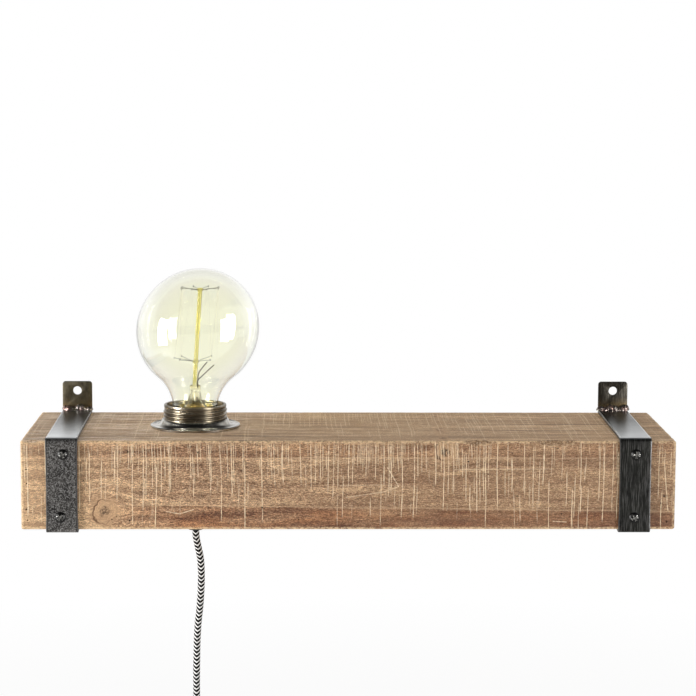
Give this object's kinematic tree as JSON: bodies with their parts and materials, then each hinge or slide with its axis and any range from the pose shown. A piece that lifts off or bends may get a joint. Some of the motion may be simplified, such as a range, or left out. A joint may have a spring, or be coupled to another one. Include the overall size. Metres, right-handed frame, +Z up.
{
  "type": "wall lamp with shelf",
  "caption": "Rough timber block shelf held in steel straps on a wall, with a lampholder and globe bulb sunk in its top and a corded switch and plug below.",
  "frame": {"origin": "midway between the two wall screw holes, in the plane of the wall", "axes": "+X to the right seen from the front, along the shelf; +Y into the wall; +Z up"},
  "size_m": [0.415, 0.1219, 0.51],
  "materials": {
    "timber": "rough sawn, waxed",
    "strap_steel": "blackened mild steel, worn bright edges",
    "tab_steel": "blackened mild steel",
    "weld": "raw weld metal",
    "black_screw": "black oxide",
    "holder_metal": "antique bronze over brass",
    "ceramic": "glazed porcelain",
    "brass": "plain",
    "zinc": "zinc plated",
    "black_plastic": "moulded, satin",
    "tinted_glass": "clear, pale amber",
    "cap_brass": "plain",
    "cement": "basing cement",
    "black_glass": "black glass",
    "solder": "tinned",
    "stem_glass": "clear",
    "fine_wire": "drawn molybdenum wire",
    "carbon_filament": "drawn tungsten",
    "brown_pvc": "flexible PVC",
    "blue_pvc": "flexible PVC",
    "textile_cord": "black and white herringbone braid",
    "black_band": "woven hook band",
    "pin_metal": "nickel plated"
  },
  "bodies": {
    "shelf": {"timber_block": "timber", "strap_left": "strap_steel", "strap_right": "strap_steel", "wall_tab_left": "tab_steel", "wall_tab_right": "tab_steel", "weld_bead_left": "weld", "weld_bead_right": "weld", "strap_screws": "black_screw", "shade_ring": "holder_metal", "holder_shell": "holder_metal", "holder_cap": "holder_metal", "ceramic_insert": "ceramic", "screw_shell": "brass", "centre_contact": "brass", "terminal_screws": "brass", "threaded_nipple": "zinc", "nipple_washer": "zinc", "lock_nut": "brass", "cord_grip": "black_plastic", "grip_screw": "black_plastic", "cord_inner": "textile_cord", "wire_brown": "brown_pvc", "wire_blue": "blue_pvc", "cord_drop": "textile_cord", "switch_base": "black_plastic", "switch_cover": "black_plastic", "switch_screws": "zinc", "switch_contacts": "brass", "cord_to_coil": "textile_cord", "cord_coil": "textile_cord", "coil_tie": "black_band", "cord_tail": "textile_cord", "plug_body": "black_plastic", "plug_pins": "pin_metal", "pin_sleeves": "black_plastic"},
    "bulb_carrier": {"bulb_insulator": "black_glass", "bulb_contact": "solder"},
    "bulb": {"bulb_glass": "tinted_glass", "bulb_cap": "cap_brass", "bulb_cement": "cement", "bulb_stem": "stem_glass", "support_wires": "fine_wire", "lead_wires": "fine_wire", "filament": "carbon_filament"},
    "rocker": {"switch_rocker": "black_plastic"}
  },
  "joints": [
    {"name": "bulb_lift", "type": "slide", "parent": "shelf", "child": "bulb_carrier", "axis": [0, 0, 1], "range_m": [0, 0.01361]},
    {"name": "bulb_turn", "type": "hinge", "parent": "bulb_carrier", "child": "bulb", "pos_m": [-0.1, -0.059, -0.0152], "axis": [0, 0, 1], "range_deg": [0, 1350]},
    {"name": "rocker_tilt", "type": "hinge", "parent": "shelf", "child": "rocker", "pos_m": [-0.1, -0.0635, -0.2352], "axis": [-1, 0, 0], "range_deg": [0, 20]}
  ],
  "couplings": [
    {"joint": "bulb_lift", "follows": "bulb_turn", "m_per_rad": 0.00057757}
  ]
}
